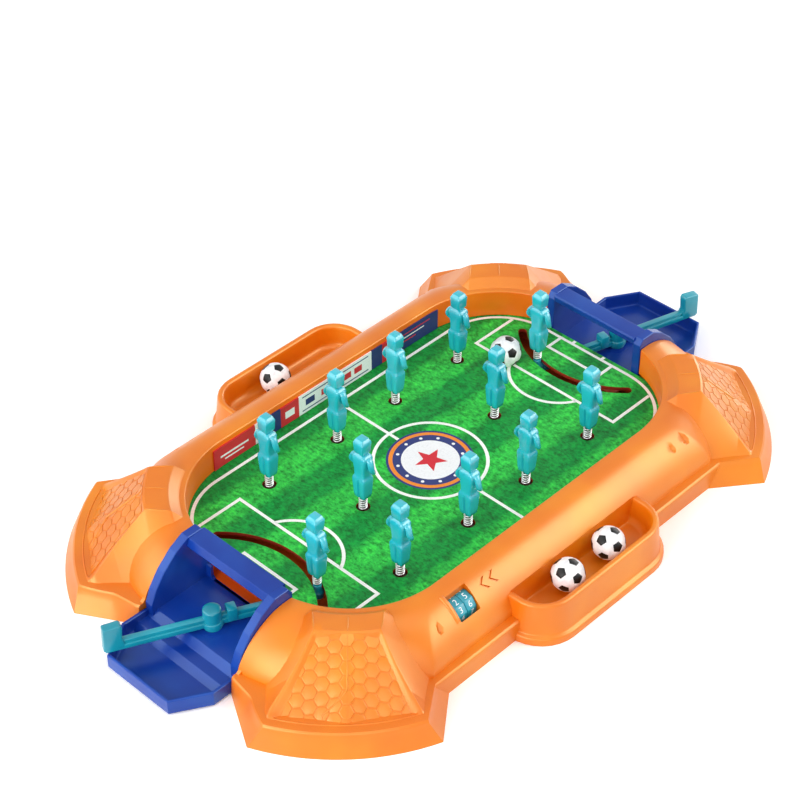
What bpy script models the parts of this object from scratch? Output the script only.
"""Tabletop finger football: a moulded surround, a pitch with sprung men, and a keeper lever at each end.

Metres, +Z up, +X along the pitch, the table at z = 0 and the middle of the pitch at x = y = 0.
"""

import math

import bmesh
import bpy
from mathutils import Matrix, Vector

# Driving dimensions: play area
PLAY_HALF_WIDTH = 0.090  # from the middle to the inner face of a long wall
GOAL_START = 0.1565  # from the middle to the front of a goal
CORNER_RADIUS = 0.067  # inner wall round each corner
GOAL_HALF_WIDTH = 0.040  # opening in the surround at each end
GOAL_LEAD = 0.0008  # how far a goal's front stands in from the end of the wall
PITCH_TOP = 0.0225
PITCH_THICKNESS = 0.0025
PITCH_TUCK = 0.005  # how far the pitch reaches under the wall
PITCH_END_GAP = 0.001  # between the pitch and a goal's front

# Driving dimensions: surround
WALL = 0.0024  # thickness of the moulding
RIM_TOP = 0.0425
RIM_WIDTH = 0.0055
RIM_BEVEL = 0.0010
SIDE_WIDTH = 0.038  # from the inner wall to the skirt of a long side
SIDE_NOTCH_PAST = 0.0278  # past the straight stretch, where the long side's skirt turns out to a foot
LEDGE_TOP = 0.014
LEDGE_WIDTH = 0.006
EDGE_BEVEL = 0.0009
END_DEPTH = 0.0505  # from a goal's front to the skirt beside it
FOOT_END_WIDTH = 0.0775  # from the inner wall to the skirt of a corner foot, towards the goal
FOOT_SIDE_WIDTH = 0.0725  # the same, towards the long side
FOOT_START = math.radians(21)
FOOT_END = math.radians(66)
FOOT_CREST = 0.048  # top edge of a foot's panel
FOOT_BAND = 0.025  # from the wall up to the crest
FOOT_STEP = 0.010  # from the wall to the top of the step up to a foot's band
FOOT_STEP_TOP = 0.047
FOOT_DRAFT = 0.0055  # how far a foot's skirt leans in from the ground up to the lip
PANEL_TOP_HALF_ANGLE = math.radians(6.5)
PANEL_LOW_HALF_ANGLE = math.radians(19.5)
PANEL_DEPTH = 0.0008
PANEL_BORDER = 0.0105
BRIDGE_DEPTH = 0.0045  # from a goal's front to the bar under it that joins the two long halves
BRIDGE_LENGTH = 0.012
BRIDGE_TOP = 0.006

# Driving dimensions: ball trays
TRAY_HALF_LENGTH = 0.059
TRAY_OUT = 0.0175  # how far a tray stands out from the long side's skirt
TRAY_DEPTH = 0.024  # of its pocket, from front to back
TRAY_RIM = 0.0276
TRAY_RIM_WIDTH = 0.005
TRAY_FLOOR = 0.012
TRAY_CORNER = 0.022
PLINTH_OUT = 0.005
PLINTH_TOP = 0.007
PLINTH_BEVEL = 0.0025
TRAY_LIFT = 0.0002

# Driving dimensions: base
BASE_BOTTOM = 0.001
BASE_THICKNESS = 0.0024
BASE_OUT = 0.006  # how far the base reaches past the inner wall
BASE_RIB = 0.0025
BASE_END_GAP = 0.0013  # between the base and a goal's front
LEVER_GATE_HALF_WIDTH = 0.033
LUG_RADIUS = 0.006
LUG_ARM = 0.016
SIDE_BOSS_IN = 0.0165  # from the end of the straight stretch to a screw
SIDE_BOSS_OUT = 0.0115
CORNER_BOSS_OUT = 0.016
BOSS_RADIUS = 0.004

# Driving dimensions: men and springs
ROW_HALF_GAP = 0.056
OUTER_MAN_X = 0.0855
INNER_MAN_X = 0.0264
MIDDLE_MAN_X = 0.0599
HOLE_RADIUS = 0.0045
POST_RADIUS = 0.0039
POST_TOP_DROP = 0.0023  # the spring post stops this far below the pitch
PIN_RADIUS = 0.0018
POST_PIN = 0.002
MAN_CLEAR = 0.009  # from the pitch up to a man's underside
MAN_PIN = 0.003
MAN_HEIGHT = 0.047
SPRING_RADIUS = 0.00285  # middle of the wire
WIRE_RADIUS = 0.00045
FIELD_CURLS = 5
KEEPER_CURLS = 4
POINTS_PER_CURL = 8

# Driving dimensions: goals
GOAL_DEPTH = 0.0855
FRAME_WIDTH = 0.006
CROSSBAR_TOP = 0.0495
CROSSBAR_HEIGHT = 0.005
CROSSBAR_WIDTH = 0.0115
CROSSBAR_SLOPE = 0.005
GOAL_WALL = 0.002
CATCH_RIM = 0.0112
CATCH_FLOOR = 0.0032
CATCH_BOTTOM = 0.0008
CATCH_CORNER_DEPTH = 0.063  # this depth and those below run from the goal's front
CATCH_END_HALF_WIDTH = 0.026
STEP_HIGH = 0.0105
STEP_MIDDLE = 0.0068
STEP_HIGH_DEPTH = 0.0425
STEP_MIDDLE_DEPTH = 0.0565
STEP_RUN = 0.004
FRAME_DEPTH = 0.0445
APRON_THICKNESS = 0.002
APRON_GATE_HALF_WIDTH = 0.0295

# Driving dimensions: keeper levers
PIVOT_DEPTH = 0.0275
KEEPER_REACH = 0.064
HANDLE_REACH = 0.0595
ARM_WIDTH = 0.006
ARM_HEIGHT = 0.006
ARM_DROP = 0.001  # the arm's top below the pitch's underside
BOSS_TOP = 0.025
LEVER_BOSS_RADIUS = 0.0056
PADDLE_LENGTH = 0.011
PADDLE_TOP = 0.0335
NUB_START = 0.0085
NUB_LENGTH = 0.006
NUB_TOP = 0.023
COLLAR_RADIUS = 0.0026
COLLAR_RISE = 0.0005  # the keeper's spring seat above the pitch
SLOT_HALF_WIDTH = 0.003
SLOT_HALF_ANGLE = math.radians(45)
LEFT_LEVER_ANGLE = math.radians(-26.2)
RIGHT_LEVER_ANGLE = math.radians(163.5)

# Driving dimensions: score wheels, balls, boards, screws
SCORE_IN = 0.004  # from the end of the straight stretch to between the wheels
SCORE_WHEEL_RADIUS = 0.0092
SCORE_WHEEL_WIDTH = 0.0073
SCORE_FACETS = 10
SCORE_WALL_GAP = 0.002  # between the wheels and the inner wall's back
SCORE_DROP = 0.0139  # the axle below the rim
SCORE_WINDOW_DROP = 0.001  # the window's lower edge below the axle
SCORE_WINDOW_BACK = 0.0018  # its upper edge towards the pitch from the axle
AXLE_RADIUS = 0.0015
EAR_THICKNESS = 0.0025
EAR_HALF_HEIGHT = 0.004
BALL_RADIUS = 0.0104
NEAR_BALL_X = 0.0187
FAR_BALL_X = -0.0115
PITCH_BALL_LEAD = 0.0184  # the ball on the pitch in front of the right keeper, and beside it
PITCH_BALL_ASIDE = 0.0120
BOARD_HEIGHT = 0.0155
BOARD_THICKNESS = 0.0008
BOARD_PAST = 0.0085  # how far a board runs past the straight stretch
SCREW_RADIUS = 0.0014
SCREW_HEAD_RADIUS = 0.0030
SCREW_HEAD_HEIGHT = 0.0016
SCREW_GRIP = 0.009
PIVOT_SCREW_RADIUS = 0.0016
PIVOT_SCREW_GRIP = 0.009

# Clearances
TOUCH = 0.0003  # between pieces that rest on each other
RUNNING = 0.0002  # round a shaft in its hole
DROP_IN = 0.0004  # round a piece set into an opening

# Derived levels and places
PITCH_UNDER = PITCH_TOP - PITCH_THICKNESS
WALL_FOOT = PITCH_TOP + TOUCH
CORNER_Y = PLAY_HALF_WIDTH - CORNER_RADIUS
WALL_END_RUN = math.sqrt(CORNER_RADIUS**2 - (GOAL_HALF_WIDTH - CORNER_Y) ** 2)
STRAIGHT_HALF_LENGTH = GOAL_START + GOAL_LEAD - WALL_END_RUN
CORNER = Vector((STRAIGHT_HALF_LENGTH, CORNER_Y))
PITCH_HALF_LENGTH = GOAL_START - PITCH_END_GAP
SIDE_HALF_WIDTH = PLAY_HALF_WIDTH + SIDE_WIDTH
SIDE_NOTCH_X = STRAIGHT_HALF_LENGTH + SIDE_NOTCH_PAST
END_REACH = GOAL_START + END_DEPTH
FOOT_END_RADIUS = CORNER_RADIUS + FOOT_END_WIDTH
FOOT_SIDE_RADIUS = CORNER_RADIUS + FOOT_SIDE_WIDTH
BRIDGE_START = GOAL_START + BRIDGE_DEPTH
TRAY_REACH = SIDE_HALF_WIDTH + TRAY_OUT
TRAY_BACK = TRAY_REACH - TRAY_RIM_WIDTH - TRAY_DEPTH
BASE_HALF_LENGTH = GOAL_START - BASE_END_GAP
SIDE_BOSS_X = STRAIGHT_HALF_LENGTH - SIDE_BOSS_IN
BASE_TOP = PITCH_UNDER - TOUCH
BASE_FLOOR = BASE_BOTTOM + BASE_THICKNESS
POST_TOP = PITCH_TOP - POST_TOP_DROP
MAN_BOTTOM = PITCH_TOP + MAN_CLEAR
COLLAR_TOP = PITCH_TOP + COLLAR_RISE
GOAL_END = GOAL_START + GOAL_DEPTH
CATCH_CORNER_X = GOAL_START + CATCH_CORNER_DEPTH
STEP_HIGH_END = GOAL_START + STEP_HIGH_DEPTH
STEP_MIDDLE_END = GOAL_START + STEP_MIDDLE_DEPTH
FRAME_END = GOAL_START + FRAME_DEPTH
PIVOT_X = GOAL_START + PIVOT_DEPTH
ARM_TOP = PITCH_UNDER - ARM_DROP
ARM_BOTTOM = ARM_TOP - ARM_HEIGHT
FRAME_OUTER = GOAL_HALF_WIDTH - DROP_IN
FRAME_INNER = FRAME_OUTER - FRAME_WIDTH
BOSS_FOOT = STEP_HIGH + TOUCH
SCORE_X = SCORE_IN - STRAIGHT_HALF_LENGTH
SCORE_Y = -(PLAY_HALF_WIDTH + WALL + SCORE_WALL_GAP + SCORE_WHEEL_RADIUS)
SCORE_Z = RIM_TOP - SCORE_DROP
EAR_GAP = SCORE_WHEEL_WIDTH + TOUCH
BOARD_HALF_LENGTH = STRAIGHT_HALF_LENGTH + BOARD_PAST
TRAY_BALL_Y = (TRAY_BACK + TRAY_REACH - TRAY_RIM_WIDTH) / 2
MEN = (
    [(x, -ROW_HALF_GAP) for x in (-OUTER_MAN_X, -INNER_MAN_X, INNER_MAN_X, OUTER_MAN_X)]
    + [(-MIDDLE_MAN_X, 0.0), (MIDDLE_MAN_X, 0.0)]
    + [(x, ROW_HALF_GAP) for x in (-OUTER_MAN_X, -INNER_MAN_X, INNER_MAN_X, OUTER_MAN_X)]
)
LEVERS = {"left": (-PIVOT_X, LEFT_LEVER_ANGLE), "right": (PIVOT_X, RIGHT_LEVER_ANGLE)}


def clear_scene():
    for obj in list(bpy.data.objects):
        bpy.data.objects.remove(obj)


def make_material(name, colour, roughness, metallic=0.0):
    material = bpy.data.materials.new(name)
    material.use_nodes = True
    shader = material.node_tree.nodes["Principled BSDF"]
    shader.inputs["Base Color"].default_value = (*colour, 1.0)
    shader.inputs["Roughness"].default_value = roughness
    shader.inputs["Metallic"].default_value = metallic
    return material


def add_object(name, data, material=None, location=(0, 0, 0), turn=0.0):
    obj = bpy.data.objects.new(name, data)
    bpy.context.scene.collection.objects.link(obj)
    obj.location = location
    obj.rotation_euler = (0, 0, turn)
    if material is not None:
        data.materials.clear()
        data.materials.append(material)
    return obj


def finish_mesh(bm, name, smooth_angle=None):
    bmesh.ops.recalc_face_normals(bm, faces=bm.faces)
    mesh = bpy.data.meshes.new(name)
    bm.to_mesh(mesh)
    bm.free()
    if smooth_angle is not None:
        mesh.shade_smooth()
        mesh.set_sharp_from_angle(angle=math.radians(smooth_angle))
    return mesh


def combine(obj, bm, operation, name):
    """Adds the shape in bm to obj, or cuts it out, by a Boolean with a hidden helper."""
    helper = add_object(name, finish_mesh(bm, name))
    helper.hide_render = True
    helper.display_type = "WIRE"
    modifier = obj.modifiers.new(name, "BOOLEAN")
    modifier.operation = operation
    modifier.solver = "EXACT"
    modifier.object = helper
    return helper


def add_prism(bm, outline, low, high):
    """An upright prism on a plan outline."""
    bottom = [bm.verts.new((x, y, low)) for x, y in outline]
    top = [bm.verts.new((x, y, high)) for x, y in outline]
    bm.faces.new(bottom[::-1])
    bm.faces.new(top)
    for i, vert in enumerate(bottom):
        j = (i + 1) % len(bottom)
        bm.faces.new((vert, bottom[j], top[j], top[i]))


def add_box(bm, low, high):
    add_prism(bm, [(low[0], low[1]), (high[0], low[1]), (high[0], high[1]), (low[0], high[1])], low[2], high[2])


def add_rod(bm, centre, radius, low, high, sides=16, top_radius=None):
    """An upright round bar, or a cone where top_radius differs."""
    top_radius = radius if top_radius is None else top_radius
    add_loft(bm, [ring(centre, radius, low, sides), ring(centre, top_radius, high, sides)])


def ring(centre, radius, z, sides):
    steps = [2 * math.pi * i / sides for i in range(sides)]
    return [(centre[0] + radius * math.cos(a), centre[1] + radius * math.sin(a), z) for a in steps]


def add_loft(bm, rings):
    """A closed skin through rings of as many points each, capped at both ends."""
    rows = [[bm.verts.new(p) for p in points] for points in rings]
    for row, following in zip(rows, rows[1:]):
        for i, vert in enumerate(row):
            j = (i + 1) % len(row)
            bm.faces.new((vert, row[j], following[j], following[i]))
    bm.faces.new(rows[0][::-1])
    bm.faces.new(rows[-1])


def polar(centre, radius, angle):
    return (centre[0] + radius * math.cos(angle), centre[1] + radius * math.sin(angle))


def spread(start, end, count):
    return [start + (end - start) * i / (count - 1) for i in range(count)]


def play_outline(offset, end_x, steps):
    """The play area's plan outline, moved outwards by offset and cut off at both ends."""
    radius = CORNER_RADIUS + offset
    last = math.acos((end_x - CORNER.x) / radius)
    quarter = [polar(CORNER, radius, a) for a in spread(math.pi / 2, last, steps)]
    right = quarter + [(x, -y) for x, y in reversed(quarter)]
    return right + [(-x, -y) for x, y in right]


# The surround's cross-section: distance out from the inner wall, and height


def slope_drop(share):
    """How far the convex slope has come down, from 0 at the rim to 1 at the ledge."""
    return 0.5 * share**2 + 0.5 * (1 - math.sqrt(max(0.0, 1 - share**2)))


SLOPE_SHARES = (0.16, 0.38, 0.66, 0.88)


def wall_and_skirt(between, reach, top, draft=0.0):
    """A whole section with sharp corners: inner wall, rim, what lies between, and the skirt."""
    wall = [(0.0, WALL_FOOT), (0.0, RIM_TOP), (RIM_WIDTH, RIM_TOP)]
    return wall + between + [(reach - draft, top), (reach, 0.0)]


def slope_section(reach, dome):
    """Section with the convex slope, that comes down within dome, and the ledge."""
    slope_end = dome - LEDGE_WIDTH
    run = slope_end - RIM_WIDTH
    fall = RIM_TOP - LEDGE_TOP
    slope = [(RIM_WIDTH + s * run, RIM_TOP - slope_drop(s) * fall) for s in SLOPE_SHARES]
    return wall_and_skirt(slope + [(slope_end, LEDGE_TOP)], reach, LEDGE_TOP)


def foot_section(reach):
    """Section through a corner foot: step and band up to the crest, steep panel and lip."""
    low = reach - PANEL_BORDER
    fall = FOOT_CREST - LEDGE_TOP
    step = [(FOOT_STEP, FOOT_STEP_TOP)]
    slope = [(FOOT_BAND + (low - FOOT_BAND) * s, FOOT_CREST - fall * s) for s in (0.0, 0.04, 0.96, 1.0)]
    return wall_and_skirt(step + slope, reach, LEDGE_TOP, FOOT_DRAFT)


def band_height(out):
    """Height of a foot's band, at a distance out from the inner wall."""
    if out < FOOT_STEP:
        return RIM_TOP + (FOOT_STEP_TOP - RIM_TOP) * (out - RIM_WIDTH) / (FOOT_STEP - RIM_WIDTH)
    return FOOT_STEP_TOP + (FOOT_CREST - FOOT_STEP_TOP) * (out - FOOT_STEP) / (FOOT_BAND - FOOT_STEP)


def outer_skin(section, sink):
    """The section with its two edges bevelled and, for a panel, the middle of its slope sunk."""
    points = list(section)
    points[5:7] = [(d, z - sink) for d, z in points[5:7]]
    reach, top = points[-2]
    points[-2:-1] = [(reach - EDGE_BEVEL, top), (reach, top - EDGE_BEVEL)]
    points[1:2] = [(0.0, RIM_TOP - RIM_BEVEL), (RIM_BEVEL, RIM_TOP)]
    return points


def inner_skin(section, thickness):
    """The section moved in by a thickness, with its corners kept sharp."""
    edges = [Vector(b) - Vector(a) for a, b in zip(section, section[1:])]
    normals = [Vector((e.y, -e.x)).normalized() for e in edges]
    inner = [(thickness, section[0][1])]
    for point, first, second in zip(section[1:-1], normals, normals[1:]):
        mean = (first + second).normalized()
        inner.append(tuple(Vector(point) + mean * thickness / mean.dot(first)))
    return inner + [(section[-1][0] - thickness, section[-1][1])]


def board_turn(radius):
    """How far a board bends round the corner at each end."""
    return math.asin((BOARD_HALF_LENGTH - STRAIGHT_HALF_LENGTH) / radius)


def foot_point(angle):
    """A point of a foot's skirt, at an angle round the corner's centre."""
    share = (angle - FOOT_START) / (FOOT_END - FOOT_START)
    return polar(CORNER, FOOT_END_RADIUS + (FOOT_SIDE_RADIUS - FOOT_END_RADIUS) * share, angle)


def end_skirt_point(share):
    """A point of the skirt between the goal opening (0) and the foot's corner (1)."""
    start = Vector((END_REACH, GOAL_HALF_WIDTH))
    return start.lerp(Vector(foot_point(FOOT_START)), share)


def side_skirt_point(share):
    """A point of the skirt between the foot's corner (0) and the long side (1)."""
    start = Vector(foot_point(FOOT_END))
    return start.lerp(Vector((SIDE_NOTCH_X, SIDE_HALF_WIDTH)), share)


# Where sections beside a foot stand: share of the way along the inner wall, and along the skirt
END_SLOPE_SHARES = ((0.0, 0.0), (0.3, 0.08), (0.6, 0.16))
SIDE_SLOPE_SHARES = ((0.4, 0.84), (0.7, 0.92), (1.0, 1.0))


def surround_stations():
    """(inner point, outer point, kind, dome) round one quarter, from the goal opening to the middle of a side."""
    stations = []
    opening = math.asin((GOAL_HALF_WIDTH - CORNER.y) / CORNER_RADIUS)
    foot_middle = (FOOT_START + FOOT_END) / 2
    top_start = foot_middle - PANEL_TOP_HALF_ANGLE
    top_end = foot_middle + PANEL_TOP_HALF_ANGLE
    border = (FOOT_END - FOOT_START) / 2 - PANEL_LOW_HALF_ANGLE
    foot_in_start = top_start - border
    foot_in_end = top_end + border
    for share, skirt_share in END_SLOPE_SHARES:
        inner = polar(CORNER, CORNER_RADIUS, opening + (foot_in_start - opening) * share)
        stations.append((inner, end_skirt_point(skirt_share), "slope", END_DEPTH - GOAL_LEAD))
    low_start = foot_middle - PANEL_LOW_HALF_ANGLE
    low_end = foot_middle + PANEL_LOW_HALF_ANGLE
    pairs = [(foot_in_start, FOOT_START, "foot"), (top_start, low_start, "foot")]
    panel_count = 6
    for inner, outer in zip(spread(top_start, top_end, panel_count), spread(low_start, low_end, panel_count)):
        edge = border * 0.2
        if outer == low_start:
            inner, outer = inner + edge, outer + edge
        if outer == low_end:
            inner, outer = inner - edge, outer - edge
        pairs.append((inner, outer, "panel"))
    pairs += [(top_end, low_end, "foot"), (foot_in_end, FOOT_END, "foot")]
    for inner, outer, kind in pairs:
        stations.append((polar(CORNER, CORNER_RADIUS, inner), foot_point(outer), kind, 0.0))
    side_start = math.pi / 2 - board_turn(CORNER_RADIUS)
    for share, skirt_share in SIDE_SLOPE_SHARES:
        inner = polar(CORNER, CORNER_RADIUS, foot_in_end + (side_start - foot_in_end) * share)
        stations.append((inner, side_skirt_point(skirt_share), "slope", SIDE_WIDTH))
    for x in (STRAIGHT_HALF_LENGTH, 0.0):
        stations.append(((x, PLAY_HALF_WIDTH), (x, SIDE_HALF_WIDTH), "slope", SIDE_WIDTH))
    return stations


def station_ring(inner, outer, kind, dome):
    """The closed section at one station as points in space: outer skin up and over, inner skin back."""
    start, end = Vector(inner), Vector(outer)
    reach = (end - start).length
    along = (end - start).normalized()
    section = slope_section(reach, dome) if kind == "slope" else foot_section(reach)
    sink = PANEL_DEPTH if kind == "panel" else 0.0
    skin = outer_skin(section, sink) + inner_skin(section, WALL)[::-1]
    return [(*(start + along * d), z) for d, z in skin]


def half_surround(bm, side):
    """The surround on one side of the pitch, from goal to goal."""
    quarter = surround_stations()
    stations = quarter + [((-i[0], i[1]), (-o[0], o[1]), *rest) for i, o, *rest in reversed(quarter[:-1])]
    rings = [station_ring(*station) for station in stations]
    add_loft(bm, [[(x, side * y, z) for x, y, z in points] for points in rings])


def end_cheek():
    """Side view of the plate that closes the surround's end beside a goal."""
    inner, outer, _, dome = surround_stations()[0]
    section = inner_skin(slope_section(outer[0] - inner[0], dome), WALL / 2)
    return [(inner[0] + d, max(z, TRAY_LIFT)) for d, z in section] + [(inner[0] + WALL / 2, TRAY_LIFT)]


def tray_outline(inset, back, side):
    """Plan of a ball tray: straight back on the slope and round front corners."""
    half = TRAY_HALF_LENGTH - inset
    front = TRAY_REACH - inset
    radius = TRAY_CORNER - inset
    corner = (half - radius, front - radius)
    right = [polar(corner, radius, a) for a in spread(0.0, math.pi / 2, 6)]
    outline = [(half, back)] + right + [(-x, y) for x, y in reversed(right)] + [(-half, back)]
    return [(x, side * y) for x, y in outline]


def boss_places():
    """Where screws join the base to the surround: beside each long wall and in each foot."""
    sides = [
        (x, y * (PLAY_HALF_WIDTH + SIDE_BOSS_OUT), (0.0, y))
        for x in (-SIDE_BOSS_X, SIDE_BOSS_X)
        for y in (-1, 1)
    ]
    middle = (FOOT_START + FOOT_END) / 2
    out = polar((0, 0), 1.0, middle)
    place = polar(CORNER, CORNER_RADIUS + CORNER_BOSS_OUT, middle)
    corners = [
        (a * place[0], b * place[1], (a * out[0], b * out[1])) for a in (-1, 1) for b in (-1, 1)
    ]
    return sides + corners


def slope_height(out):
    """Height of the outer skin of a long side, at a distance out from the inner wall."""
    section = slope_section(SIDE_WIDTH, SIDE_WIDTH)[2:-1]
    for (d0, z0), (d1, z1) in zip(section, section[1:]):
        if d0 <= out <= d1:
            return z0 + (z1 - z0) * (out - d0) / (d1 - d0)
    return RIM_TOP


def make_shell(material):
    bm = bmesh.new()
    half_surround(bm, 1)
    shell = add_object("top_shell", finish_mesh(bm, "top_shell"), material)
    other = bmesh.new()
    half_surround(other, -1)
    combine(shell, other, "UNION", "near_half")

    bridges = bmesh.new()
    cheeks = bmesh.new()
    cheek = end_cheek()
    for sign in (-1, 1):
        for side in (-1, 1):
            low_y = side * (GOAL_HALF_WIDTH + TRAY_LIFT)
            add_side_slab(cheeks, [(sign * x, z) for x, z in cheek], low_y, low_y + side * WALL)
        near = sign * BRIDGE_START
        far = near + sign * BRIDGE_LENGTH
        reach = GOAL_HALF_WIDTH + WALL / 2
        add_box(bridges, (min(near, far), -reach, 2 * TRAY_LIFT), (max(near, far), reach, BRIDGE_TOP))
    combine(shell, cheeks, "UNION", "end_cheeks")
    combine(shell, bridges, "UNION", "bridges")

    trays = bmesh.new()
    pockets = bmesh.new()
    hollows = bmesh.new()
    back = TRAY_BACK - 2 * WALL
    for side in (-1, 1):
        steps = [
            (PLINTH_OUT, TRAY_LIFT),
            (PLINTH_OUT, PLINTH_TOP - PLINTH_BEVEL),
            (0.0, PLINTH_TOP),
            (0.0, TRAY_RIM),
        ]
        add_loft(trays, [[(x, y, z) for x, y in tray_outline(-out, back, side)] for out, z in steps])
        add_prism(pockets, tray_outline(TRAY_RIM_WIDTH, TRAY_BACK, side), TRAY_FLOOR, RIM_TOP + TRAY_RIM)
        add_prism(hollows, tray_outline(TRAY_RIM_WIDTH, TRAY_BACK - WALL, side), -TRAY_FLOOR, TRAY_FLOOR - WALL)
    combine(shell, trays, "UNION", "trays")

    bosses = bmesh.new()
    holes = bmesh.new()
    for i, (x, y, _) in enumerate(boss_places()):
        roof = slope_height(SIDE_BOSS_OUT) if i < 4 else band_height(CORNER_BOSS_OUT)
        add_rod(bosses, (x, y), BOSS_RADIUS, BASE_FLOOR + TOUCH, roof - WALL / 2, 8)
        add_rod(holes, (x, y), SCREW_RADIUS + RUNNING, 0.0, BASE_FLOOR + SCREW_GRIP + TOUCH, 8)
    combine(shell, bosses, "UNION", "screw_bosses")

    ears = bmesh.new()
    for x in ear_places():
        low = (x, -abs(SCORE_Y) - EAR_HALF_HEIGHT, SCORE_Z - EAR_HALF_HEIGHT)
        high = (x + EAR_THICKNESS, -PLAY_HALF_WIDTH - WALL / 2, SCORE_Z + EAR_HALF_HEIGHT)
        add_box(ears, low, high)
    combine(shell, ears, "UNION", "axle_ears")

    combine(shell, pockets, "DIFFERENCE", "tray_pockets")
    combine(shell, hollows, "DIFFERENCE", "tray_hollows")
    combine(shell, holes, "DIFFERENCE", "screw_holes")

    window = bmesh.new()
    half = EAR_GAP + DROP_IN
    add_box(
        window,
        (SCORE_X - half, SCORE_Y - SCORE_WHEEL_RADIUS - DROP_IN, SCORE_Z - SCORE_WINDOW_DROP),
        (SCORE_X + half, SCORE_Y + SCORE_WINDOW_BACK, RIM_TOP + RIM_WIDTH),
    )
    combine(shell, window, "DIFFERENCE", "score_window")
    room = bmesh.new()
    room_length = 2 * EAR_GAP + TOUCH
    add_axle(room, Vector((SCORE_X, SCORE_Y, SCORE_Z)), SCORE_WHEEL_RADIUS + DROP_IN, room_length, 20)
    combine(shell, room, "DIFFERENCE", "score_room")
    axle = bmesh.new()
    for x in ear_places():
        middle = Vector((x + EAR_THICKNESS / 2, SCORE_Y, SCORE_Z))
        add_axle(axle, middle, AXLE_RADIUS + RUNNING, 2 * EAR_THICKNESS)
    combine(shell, axle, "DIFFERENCE", "axle_holes")
    return shell


def ear_places():
    """Low x of the two ears that carry the score axle."""
    return (SCORE_X - EAR_GAP - TOUCH - EAR_THICKNESS, SCORE_X + EAR_GAP + TOUCH)


def add_axle(bm, middle, radius, length, sides=12):
    """A round bar along X."""
    turn = Matrix.Translation(middle) @ Matrix.Rotation(math.pi / 2, 4, "Y")
    rods = [[turn @ Vector(p) for p in ring((0, 0), radius, z, sides)] for z in (-length / 2, length / 2)]
    add_loft(bm, rods)


def make_pitch(material):
    bm = bmesh.new()
    add_prism(bm, play_outline(PITCH_TUCK, PITCH_HALF_LENGTH, 8), PITCH_UNDER, PITCH_TOP)
    pitch = add_object("pitch_board", finish_mesh(bm, "pitch_board"), material)
    cuts = bmesh.new()
    low = PITCH_UNDER - PITCH_THICKNESS
    high = PITCH_TOP + PITCH_THICKNESS
    for place in MEN:
        add_rod(cuts, place, HOLE_RADIUS, low, high, 16)
    for sign in (-1, 1):
        add_prism(cuts, slot_outline(sign), low, high)
    combine(pitch, cuts, "DIFFERENCE", "pitch_holes")
    return pitch


def slot_outline(sign):
    """Plan of a keeper slot: an arc about the lever's pivot with round ends."""
    centre = (PIVOT_X, 0.0)
    angles = spread(math.pi - SLOT_HALF_ANGLE, math.pi + SLOT_HALF_ANGLE, 12)
    points = [polar(centre, KEEPER_REACH + SLOT_HALF_WIDTH, a) for a in angles]
    points += slot_end(centre, angles[-1], 1)
    points += [polar(centre, KEEPER_REACH - SLOT_HALF_WIDTH, a) for a in reversed(angles)]
    points += slot_end(centre, angles[0], -1)
    return [(sign * x, y) for x, y in points]


def slot_end(centre, angle, way):
    middle = polar(centre, KEEPER_REACH, angle)
    start = angle if way > 0 else angle + math.pi
    return [polar(middle, SLOT_HALF_WIDTH, start + math.pi * s) for s in (0.25, 0.5, 0.75)]


def make_base(material):
    bm = bmesh.new()
    outline = play_outline(BASE_OUT, BASE_HALF_LENGTH, 8)
    add_prism(bm, outline, BASE_BOTTOM, BASE_TOP)
    base = add_object("base_plate", finish_mesh(bm, "base_plate"), material)
    room = bmesh.new()
    inner = play_outline(BASE_OUT - BASE_RIB, BASE_HALF_LENGTH - BASE_RIB, 8)
    add_prism(room, inner, BASE_FLOOR, BASE_TOP + BASE_OUT)
    combine(base, room, "DIFFERENCE", "base_room")
    gates = bmesh.new()
    for sign in (-1, 1):
        near = sign * (BASE_HALF_LENGTH - 2 * BASE_RIB)
        far = sign * (BASE_HALF_LENGTH + BASE_RIB)
        low = (min(near, far), -LEVER_GATE_HALF_WIDTH, ARM_BOTTOM - 2 * BASE_RIB)
        add_box(gates, low, (max(near, far), LEVER_GATE_HALF_WIDTH, BASE_TOP + BASE_OUT))
    combine(base, gates, "DIFFERENCE", "lever_gates")
    posts = bmesh.new()
    for place in MEN:
        low = BASE_FLOOR - BASE_THICKNESS / 2
        rows = [
            ring(place, POST_RADIUS, low, 8),
            ring(place, POST_RADIUS, POST_TOP, 8),
            ring(place, PIN_RADIUS, POST_TOP, 8),
            ring(place, PIN_RADIUS, POST_TOP + POST_PIN, 8),
        ]
        add_loft(posts, rows)
    combine(base, posts, "UNION", "spring_posts")
    lugs = bmesh.new()
    holes = bmesh.new()
    for x, y, out in boss_places():
        add_prism(lugs, lug_outline(Vector((x, y)), Vector(out)), BASE_BOTTOM, BASE_FLOOR)
        head_top = BASE_BOTTOM + SCREW_HEAD_HEIGHT / 2
        rows = [
            ring((x, y), SCREW_HEAD_RADIUS + RUNNING, -BASE_FLOOR, 8),
            ring((x, y), SCREW_HEAD_RADIUS + RUNNING, head_top, 8),
            ring((x, y), SCREW_RADIUS + RUNNING, head_top, 8),
            ring((x, y), SCREW_RADIUS + RUNNING, 2 * BASE_FLOOR, 8),
        ]
        add_loft(holes, rows)
    combine(base, lugs, "UNION", "screw_lugs")
    combine(base, holes, "DIFFERENCE", "lug_holes")
    return base


def lug_outline(tip, out):
    """A tongue of the base that reaches out to a screw, round at its tip."""
    across = Vector((-out.y, out.x))
    root = tip - out * LUG_ARM
    first = math.atan2(-across.y, -across.x)
    points = [polar(tip, LUG_RADIUS, first + math.pi * i / 6) for i in range(7)]
    return points + [tuple(root + across * LUG_RADIUS), tuple(root - across * LUG_RADIUS)]


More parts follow.
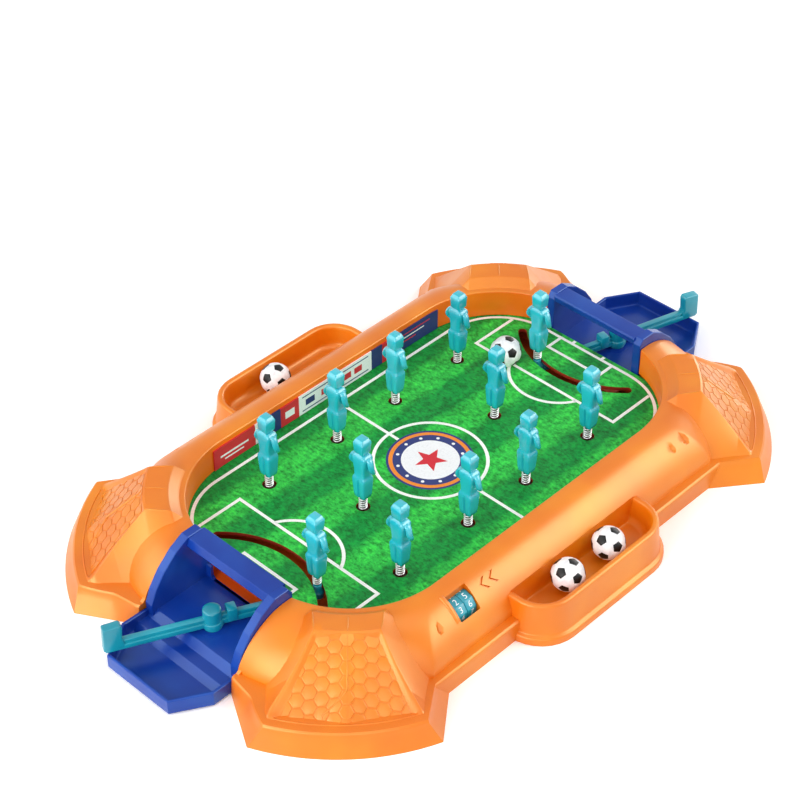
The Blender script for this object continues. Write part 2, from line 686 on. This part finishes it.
def catch_outline(inset):
    """Plan of a catch tray, from its root under the frame to its clipped end."""
    wide = FRAME_OUTER - inset
    clip = 0.4 * inset
    right = [
        (FRAME_END - FRAME_WIDTH, wide),
        (CATCH_CORNER_X - clip, wide),
        (GOAL_END - inset, CATCH_END_HALF_WIDTH - clip),
    ]
    return [(x, -y) for x, y in right] + right[::-1]


def frame_curve():
    """Side view of a goal's side frame: along the top from the crossbar down to the catch tray."""
    start = GOAL_START + CROSSBAR_WIDTH
    run = FRAME_END - start
    fall = CROSSBAR_TOP - CATCH_RIM
    return [(start + s * run, CROSSBAR_TOP - slope_drop(s) * fall) for s in spread(0.0, 1.0, 8)]


def floor_profile():
    """Side view of the stepped goal floor: a slab under the mouth, then solid steps in the catch tray."""
    slab_under = STEP_HIGH - GOAL_WALL
    riser = FRAME_END - FRAME_WIDTH + GOAL_WALL
    buried = CATCH_BOTTOM + TOUCH
    return [
        (GOAL_START, STEP_HIGH),
        (STEP_HIGH_END, STEP_HIGH),
        (STEP_HIGH_END + STEP_RUN, STEP_MIDDLE),
        (STEP_MIDDLE_END, STEP_MIDDLE),
        (STEP_MIDDLE_END + STEP_RUN, CATCH_FLOOR - TOUCH),
        (STEP_MIDDLE_END + STEP_RUN, buried),
        (riser, buried),
        (riser, slab_under),
        (GOAL_START, slab_under),
    ]


def add_side_slab(bm, profile, low_y, high_y):
    """A slab with a side-view outline in x and z, between two y planes."""
    add_loft(bm, [[(x, y, z) for x, z in profile] for y in (low_y, high_y)])


def make_goal(name, material, pivot_turn):
    bm = bmesh.new()
    add_prism(bm, catch_outline(0.0), CATCH_BOTTOM, CATCH_RIM)
    goal = add_object(name, finish_mesh(bm, name), material, turn=pivot_turn)
    room = bmesh.new()
    add_prism(room, catch_outline(GOAL_WALL), CATCH_FLOOR, CATCH_RIM + GOAL_WALL)
    combine(goal, room, "DIFFERENCE", name + "_catch_room").rotation_euler = (0, 0, pivot_turn)

    frames = bmesh.new()
    frame_foot = BRIDGE_TOP + TOUCH
    curve = [(GOAL_START, frame_foot), (GOAL_START, CROSSBAR_TOP)] + frame_curve() + [(FRAME_END, frame_foot)]
    for low_y in (-FRAME_OUTER, FRAME_INNER):
        add_side_slab(frames, curve, low_y, low_y + FRAME_WIDTH)
    combine(goal, frames, "UNION", name + "_frames").rotation_euler = (0, 0, pivot_turn)

    floor = bmesh.new()
    half = FRAME_OUTER - GOAL_WALL / 2
    add_side_slab(floor, floor_profile(), -half, half)
    combine(goal, floor, "UNION", name + "_floor").rotation_euler = (0, 0, pivot_turn)

    bar = bmesh.new()
    bar_under = CROSSBAR_TOP - CROSSBAR_HEIGHT
    bar_end = GOAL_START + CROSSBAR_WIDTH
    section = [
        (GOAL_START, bar_under),
        (bar_end + CROSSBAR_SLOPE, bar_under),
        (bar_end, CROSSBAR_TOP - TOUCH),
        (GOAL_START, CROSSBAR_TOP - TOUCH),
    ]
    add_side_slab(bar, section, -FRAME_INNER - TOUCH, FRAME_INNER + TOUCH)
    apron_top = PITCH_UNDER
    add_box(
        bar,
        (GOAL_START, -FRAME_INNER - TOUCH, STEP_HIGH - TOUCH),
        (GOAL_START + APRON_THICKNESS, FRAME_INNER + TOUCH, apron_top),
    )
    combine(goal, bar, "UNION", name + "_bar").rotation_euler = (0, 0, pivot_turn)

    cuts = bmesh.new()
    add_box(
        cuts,
        (GOAL_START - APRON_THICKNESS, -APRON_GATE_HALF_WIDTH, STEP_HIGH),
        (GOAL_START + 2 * APRON_THICKNESS, APRON_GATE_HALF_WIDTH, PITCH_TOP),
    )
    add_rod(cuts, (PIVOT_X, 0.0), PIVOT_SCREW_RADIUS + RUNNING, CATCH_BOTTOM, CATCH_RIM + GOAL_WALL, 10)
    combine(goal, cuts, "DIFFERENCE", name + "_cuts").rotation_euler = (0, 0, pivot_turn)
    return goal


def make_lever(name, material, place, turn):
    """A lever with its pivot at the origin and its keeper arm along +X."""
    half = ARM_WIDTH / 2
    bm = bmesh.new()
    add_box(bm, (EDGE_BEVEL - HANDLE_REACH, -half, ARM_BOTTOM), (KEEPER_REACH, half, ARM_TOP))
    lever = add_object(name, finish_mesh(bm, name), material, (place, 0, 0), turn)

    paddle = bmesh.new()
    waist = PADDLE_LENGTH / 4
    low = -HANDLE_REACH
    outline = [
        (low, ARM_BOTTOM + EDGE_BEVEL),
        (low + PADDLE_LENGTH, ARM_BOTTOM + EDGE_BEVEL),
        (low + PADDLE_LENGTH - waist, ARM_TOP + waist),
        (low + PADDLE_LENGTH, PADDLE_TOP - waist),
        (low + PADDLE_LENGTH - waist / 2, PADDLE_TOP),
        (low, PADDLE_TOP - waist / 2),
    ]
    thick = half - EDGE_BEVEL / 2
    add_side_slab(paddle, outline, -thick, thick)
    add_box(
        paddle,
        (NUB_START, -half - EDGE_BEVEL, ARM_BOTTOM + EDGE_BEVEL),
        (NUB_START + NUB_LENGTH, half + EDGE_BEVEL, NUB_TOP),
    )
    add_rod(paddle, (0.0, 0.0), LEVER_BOSS_RADIUS, BOSS_FOOT, BOSS_TOP, 20)
    tip = (KEEPER_REACH, 0.0)
    rows = [
        ring(tip, half + EDGE_BEVEL, ARM_BOTTOM + EDGE_BEVEL, 12),
        ring(tip, half + EDGE_BEVEL, ARM_TOP - EDGE_BEVEL, 12),
        ring(tip, COLLAR_RADIUS, PITCH_UNDER - TOUCH, 12),
        ring(tip, COLLAR_RADIUS, COLLAR_TOP, 12),
        ring(tip, PIN_RADIUS, COLLAR_TOP, 12),
        ring(tip, PIN_RADIUS, COLLAR_TOP + POST_PIN, 12),
    ]
    add_loft(paddle, rows)
    helper = combine(lever, paddle, "UNION", name + "_shapes")
    bore = bmesh.new()
    add_rod(
        bore,
        (0.0, 0.0),
        PIVOT_SCREW_RADIUS + RUNNING,
        CATCH_BOTTOM,
        STEP_HIGH + PIVOT_SCREW_GRIP + 2 * TOUCH,
        10,
    )
    cutter = combine(lever, bore, "DIFFERENCE", name + "_bore")
    for piece in (helper, cutter):
        piece.location = (place, 0, 0)
        piece.rotation_euler = (0, 0, turn)
    return lever


def chamfered(z, half_x, half_y, cut):
    """A rectangle with clipped corners at a height."""
    quarter = [(half_x, half_y - cut), (half_x - cut, half_y)]
    half = quarter + [(-x, y) for x, y in reversed(quarter)]
    return [(x, y, z) for x, y in half] + [(-x, -y, z) for x, y in half]


# A man's body from his underside up: share of his height, half depth, half width, corner cut
MAN_FORM = (
    (0.000, 0.0034, 0.0040, 0.0016),
    (0.045, 0.0048, 0.0056, 0.0018),
    (0.170, 0.0052, 0.0062, 0.0018),
    (0.340, 0.0046, 0.0056, 0.0016),
    (0.640, 0.0046, 0.0062, 0.0014),
    (0.725, 0.0042, 0.0056, 0.0014),
    (0.765, 0.0028, 0.0030, 0.0010),
    (0.800, 0.0048, 0.0048, 0.0011),
    (0.975, 0.0052, 0.0052, 0.0011),
    (1.000, 0.0044, 0.0044, 0.0010),
)
ARM_FORM = (
    (0.460, 0.0016, 0.0103),
    (0.560, 0.0019, 0.0100),
    (0.670, 0.0021, 0.0076),
    (0.735, 0.0018, 0.0046),
)
ARM_HALF_THICKNESS = 0.0016
PIN_CUT = 0.0007


def man_mesh():
    """A plain figure with its underside at z = 0, arms at its sides, and a pin for its spring."""
    bm = bmesh.new()
    pin = [chamfered(z, PIN_RADIUS, PIN_RADIUS, PIN_CUT) for z in (-MAN_PIN, 0.0)]
    body = [chamfered(share * MAN_HEIGHT, x, y, cut) for share, x, y, cut in MAN_FORM]
    add_loft(bm, pin + body)
    return finish_mesh(bm, "man")


def arm_shape(side):
    bm = bmesh.new()
    rows = []
    for share, half_x, y in ARM_FORM:
        z = share * MAN_HEIGHT
        rows.append([
            (half_x, side * (y - ARM_HALF_THICKNESS), z),
            (half_x, side * (y + ARM_HALF_THICKNESS), z),
            (-half_x, side * (y + ARM_HALF_THICKNESS), z),
            (-half_x, side * (y - ARM_HALF_THICKNESS), z),
        ])
    add_loft(bm, rows)
    return bm


def make_man(name, material, place):
    """A man with his origin where his spring bends."""
    pivot = spring_middle()
    mesh = man_mesh()
    mesh.transform(Matrix.Translation((0, 0, MAN_BOTTOM - pivot)))
    man = add_object(name, mesh, material, (place[0], place[1], pivot))
    for side in (-1, 1):
        helper = combine(man, arm_shape(side), "UNION", f"{name}_arm_{'near' if side < 0 else 'far'}")
        helper.location = (place[0], place[1], MAN_BOTTOM)
    return man


def spring_middle():
    return (POST_TOP + MAN_BOTTOM) / 2


def spring_points(low, high, curls):
    """Middle line of a coil: straight square ends one wire wide and a steady climb between them."""
    end = 2 * WIRE_RADIUS
    start, stop = low + end, high - end
    count = curls * POINTS_PER_CURL
    points = [(SPRING_RADIUS, 0.0, low)]
    for i in range(count + 1):
        angle = 2 * math.pi * i / POINTS_PER_CURL
        z = start + (stop - start) * i / count
        points.append((SPRING_RADIUS * math.cos(angle), SPRING_RADIUS * math.sin(angle), z))
    points.append((SPRING_RADIUS, 0.0, high))
    return points


def least_gap(points):
    """Smallest free space between stretches of the wire that aren't neighbours along it."""
    apart = POINTS_PER_CURL // 2 + 1
    gaps = [
        (Vector(a) - Vector(b)).length
        for i, a in enumerate(points)
        for b in points[i + apart:]
    ]
    return min(gaps) - 2 * WIRE_RADIUS


def make_spring(name, material, place, low, curls):
    points = spring_points(low + TOUCH, MAN_BOTTOM - TOUCH, curls)
    curve = bpy.data.curves.new(name, "CURVE")
    curve.dimensions = "3D"
    curve.bevel_depth = WIRE_RADIUS
    curve.bevel_resolution = 1
    curve.use_fill_caps = True
    spline = curve.splines.new("POLY")
    spline.points.add(len(points) - 1)
    for point, place_on_wire in zip(spline.points, points):
        point.co = (*place_on_wire, 1.0)
    print(f"{name}: least gap between curls {1000 * least_gap(points):.2f} mm")
    return add_object(name, curve, material, (place[0], place[1], 0))


def make_screw(name, material, place, head_low, shank_top, radius):
    """A round-headed screw pointing up."""
    bm = bmesh.new()
    rows = [
        ring((0, 0), SCREW_HEAD_RADIUS, 0.0, 8),
        ring((0, 0), SCREW_HEAD_RADIUS, SCREW_HEAD_HEIGHT, 8),
        ring((0, 0), radius, SCREW_HEAD_HEIGHT, 8),
        ring((0, 0), radius, shank_top - head_low, 8),
    ]
    add_loft(bm, rows)
    return add_object(name, finish_mesh(bm, name, 40), material, (place[0], place[1], head_low))


def make_ball(name, material, place):
    bm = bmesh.new()
    bmesh.ops.create_icosphere(bm, subdivisions=2, radius=BALL_RADIUS)
    return add_object(name, finish_mesh(bm, name, 60), material, place)


def make_board(name, material, side):
    """The printed strip that follows the inside of a long wall."""
    bm = bmesh.new()
    outline = board_line(TOUCH) + board_line(TOUCH + BOARD_THICKNESS)[::-1]
    low = WALL_FOOT + TOUCH
    add_prism(bm, [(x, side * y) for x, y in outline], low, low + BOARD_HEIGHT)
    return add_object(name, finish_mesh(bm, name), material)


def board_line(inset):
    """Plan line on the wall's face, moved in by inset, out to the ends of the board."""
    radius = CORNER_RADIUS - inset
    right = [polar(CORNER, radius, math.pi / 2 - a) for a in spread(board_turn(radius), 0.0, 3)]
    return right + [(-x, y) for x, y in reversed(right)]


def make_score(material, steel):
    facet = [2 * math.pi * (i + 0.5) / SCORE_FACETS for i in range(SCORE_FACETS)]
    for i, side in enumerate((-1, 1)):
        bm = bmesh.new()
        middle = side * (SCORE_WHEEL_WIDTH + TOUCH) / 2
        ends = [middle - SCORE_WHEEL_WIDTH / 2, middle + SCORE_WHEEL_WIDTH / 2]
        add_loft(bm, [
            [(x, SCORE_WHEEL_RADIUS * math.cos(a), SCORE_WHEEL_RADIUS * math.sin(a)) for a in facet] for x in ends
        ])
        name = f"score_wheel_{i + 1}"
        place = (SCORE_X, SCORE_Y, SCORE_Z)
        wheel = add_object(name, finish_mesh(bm, name), material, place)
        bore = bmesh.new()
        add_axle(bore, Vector((middle, 0, 0)), AXLE_RADIUS + RUNNING, 2 * SCORE_WHEEL_WIDTH)
        combine(wheel, bore, "DIFFERENCE", name + "_bore").location = place
    low, high = ear_places()
    bm = bmesh.new()
    add_axle(bm, Vector((0, 0, 0)), AXLE_RADIUS, high + EAR_THICKNESS - low)
    add_object("score_axle", finish_mesh(bm, "score_axle", 40), steel, (SCORE_X, SCORE_Y, SCORE_Z))


def build():
    clear_scene()
    orange = make_material("orange_plastic", (0.91, 0.24, 0.017), 0.35)
    dark_orange = make_material("base_plastic", (0.75, 0.17, 0.01), 0.5)
    green = make_material("pitch_print", (0.02, 0.25, 0.05), 0.6)
    board = make_material("board_print", (0.55, 0.02, 0.03), 0.5)
    blue = make_material("blue_plastic", (0.02, 0.05, 0.32), 0.3)
    teal = make_material("teal_plastic", (0.01, 0.45, 0.52), 0.35)
    steel = make_material("spring_steel", (0.62, 0.62, 0.64), 0.3, 1.0)
    white = make_material("ball_plastic", (0.85, 0.85, 0.87), 0.3)

    make_shell(orange)
    make_base(dark_orange)
    make_pitch(green)
    make_board("far_board", board, 1)
    make_board("near_board", board, -1)
    make_score(teal, steel)

    for i, place in enumerate(MEN):
        make_man(f"man_{i + 1}", teal, place)
        make_spring(f"man_spring_{i + 1}", steel, place, POST_TOP, FIELD_CURLS)
    for side, (place, turn) in LEVERS.items():
        make_goal(f"{side}_goal", blue, 0.0 if place > 0 else math.pi)
        make_lever(f"{side}_keeper_lever", teal, place, turn)
        keeper = polar((place, 0.0), KEEPER_REACH, turn)
        make_man(f"{side}_keeper", teal, keeper)
        make_spring(f"{side}_keeper_spring", steel, keeper, COLLAR_TOP, KEEPER_CURLS)
        head_low = STEP_HIGH - GOAL_WALL - TOUCH - SCREW_HEAD_HEIGHT
        shank_top = STEP_HIGH + PIVOT_SCREW_GRIP
        make_screw(f"{side}_pivot_screw", steel, (place, 0.0), head_low, shank_top, PIVOT_SCREW_RADIUS)

    for i, (x, y, _) in enumerate(boss_places()):
        head_low = BASE_BOTTOM + SCREW_HEAD_HEIGHT / 2 - TOUCH - SCREW_HEAD_HEIGHT
        make_screw(f"base_screw_{i + 1}", steel, (x, y), head_low, BASE_FLOOR + SCREW_GRIP, SCREW_RADIUS)

    tray_ball_z = TRAY_FLOOR + TOUCH + BALL_RADIUS
    pitch_ball_z = PITCH_TOP + TOUCH + BALL_RADIUS
    keeper_x, keeper_y = polar((PIVOT_X, 0.0), KEEPER_REACH, RIGHT_LEVER_ANGLE)
    balls = [
        (-NEAR_BALL_X, -TRAY_BALL_Y, tray_ball_z),
        (NEAR_BALL_X, -TRAY_BALL_Y, tray_ball_z),
        (FAR_BALL_X, TRAY_BALL_Y, tray_ball_z),
        (keeper_x - PITCH_BALL_LEAD, keeper_y + PITCH_BALL_ASIDE, pitch_ball_z),
    ]
    for i, place in enumerate(balls):
        make_ball(f"ball_{i + 1}", white, place)


build()
